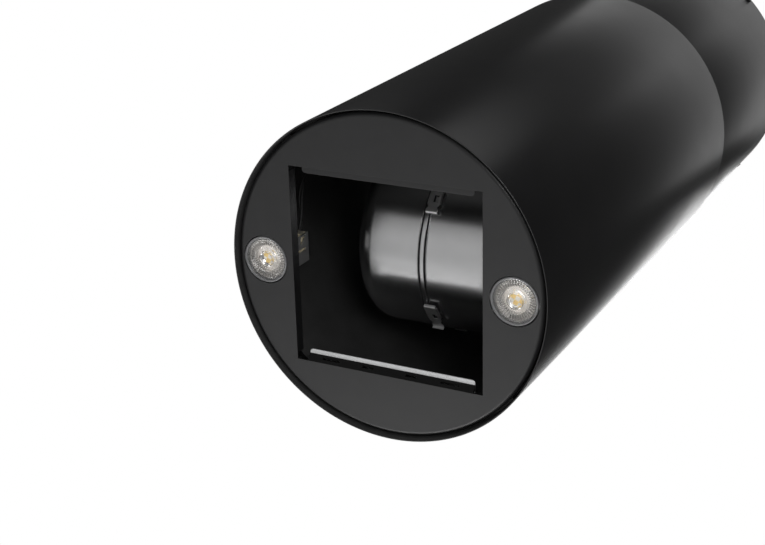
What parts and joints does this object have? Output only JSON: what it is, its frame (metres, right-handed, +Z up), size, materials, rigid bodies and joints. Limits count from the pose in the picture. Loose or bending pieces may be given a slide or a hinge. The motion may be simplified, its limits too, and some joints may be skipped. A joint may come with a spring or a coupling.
{
  "type": "island range hood",
  "caption": "Tube-shaped island range hood with a recessed round base plate, a square filter opening between two lamps, a clipped metal blower and a telescopic ceiling frame.",
  "frame": {"origin": "on the ceiling, on the tube's axis, at the centre of the ceiling plate's bolt circle", "axes": "+Z up to the ceiling along the tube's axis, +X to the right lamp, -Y to the front"},
  "size_m": [0.35, 0.3498, 0.9],
  "materials": {
    "black_tube": "smooth satin black paint",
    "black_plate": "fine-textured matt black powder coat",
    "steel_bright": "bright rolled steel",
    "galvanised": "galvanised sheet steel",
    "spring_steel": "spring steel",
    "zinc_screw": "zinc-plated",
    "black_screw": "black-plated",
    "ceramic": "unglazed ceramic, matt",
    "lamp_body": "grey moulded lamp body",
    "lamp_lens": "clear moulded lens with fine rings",
    "led_board": "white board with yellow dies",
    "sleeve": "black woven sleeve over the lead",
    "rubber": "black rubber",
    "black_plastic": "black moulded plastic",
    "motor": "grey motor case",
    "impeller": "dark coated steel blades",
    "white_plastic": "pale moulded plastic",
    "board": "green circuit board",
    "terminal": "cream moulded plastic"
  },
  "bodies": {
    "ceiling_frame": {"ceiling_plate": "galvanised", "ceiling_uprights": "galvanised", "clamp_bolts": "zinc_screw", "upper_tube": "black_tube", "upper_tube_screws": "black_screw"},
    "hood_body": {"lower_tube": "black_tube", "base_plate": "black_plate", "front_filter_ledge": "black_plate", "rear_filter_ledge": "steel_bright", "plate_brackets": "black_plate", "plate_nuts": "zinc_screw", "left_lamp_bracket": "steel_bright", "right_lamp_bracket": "steel_bright", "left_lampholder": "ceramic", "right_lampholder": "ceramic", "left_terminal_cap": "black_plastic", "right_terminal_cap": "black_plastic", "left_bulb_body": "lamp_body", "right_bulb_body": "lamp_body", "left_bulb_lens": "lamp_lens", "right_bulb_lens": "lamp_lens", "left_led_module": "led_board", "right_led_module": "led_board", "left_lamp_lead": "sleeve", "right_lamp_lead": "sleeve", "motor_lead": "sleeve", "lead_grommets": "rubber", "blower_left_shell": "galvanised", "blower_right_shell": "galvanised", "seam_clips": "spring_steel", "left_inlet_ring": "black_plastic", "right_inlet_ring": "black_plastic", "left_inlet_guard": "steel_bright", "motor_case": "motor", "motor_bracket": "galvanised", "motor_dampers": "rubber", "bracket_screws": "zinc_screw", "motor_deck": "galvanised", "deck_brackets": "galvanised", "deck_screws": "zinc_screw", "outlet_gasket": "rubber", "outlet_collar": "black_plastic", "outlet_screws": "zinc_screw", "capacitor": "white_plastic", "capacitor_strap": "galvanised", "control_box_tray": "white_plastic", "control_box_cover": "white_plastic", "control_board": "board", "terminal_block": "terminal", "cable_gland": "black_plastic", "control_box_screws": "zinc_screw", "hood_uprights": "galvanised"},
    "rotor": {"impeller": "impeller", "impeller_hub": "steel_bright", "motor_shaft": "steel_bright"},
    "front_damper": {"front_flap": "black_plastic"},
    "rear_damper": {"rear_flap": "black_plastic"}
  },
  "joints": [
    {"name": "height_slide", "type": "slide", "parent": "ceiling_frame", "child": "hood_body", "axis": [0, 0, 1], "range_m": [0, 0.15]},
    {"name": "impeller_spin", "type": "hinge", "parent": "hood_body", "child": "rotor", "pos_m": [0, 0.016, -0.714], "axis": [1, 0, 0], "continuous": true},
    {"name": "front_flap_hinge", "type": "hinge", "parent": "hood_body", "child": "front_damper", "pos_m": [0, -0.0026, -0.581], "axis": [-1, 0, 0], "range_deg": [0, 80]},
    {"name": "rear_flap_hinge", "type": "hinge", "parent": "hood_body", "child": "rear_damper", "pos_m": [0, 0.0026, -0.581], "axis": [1, 0, 0], "range_deg": [0, 80]}
  ]
}
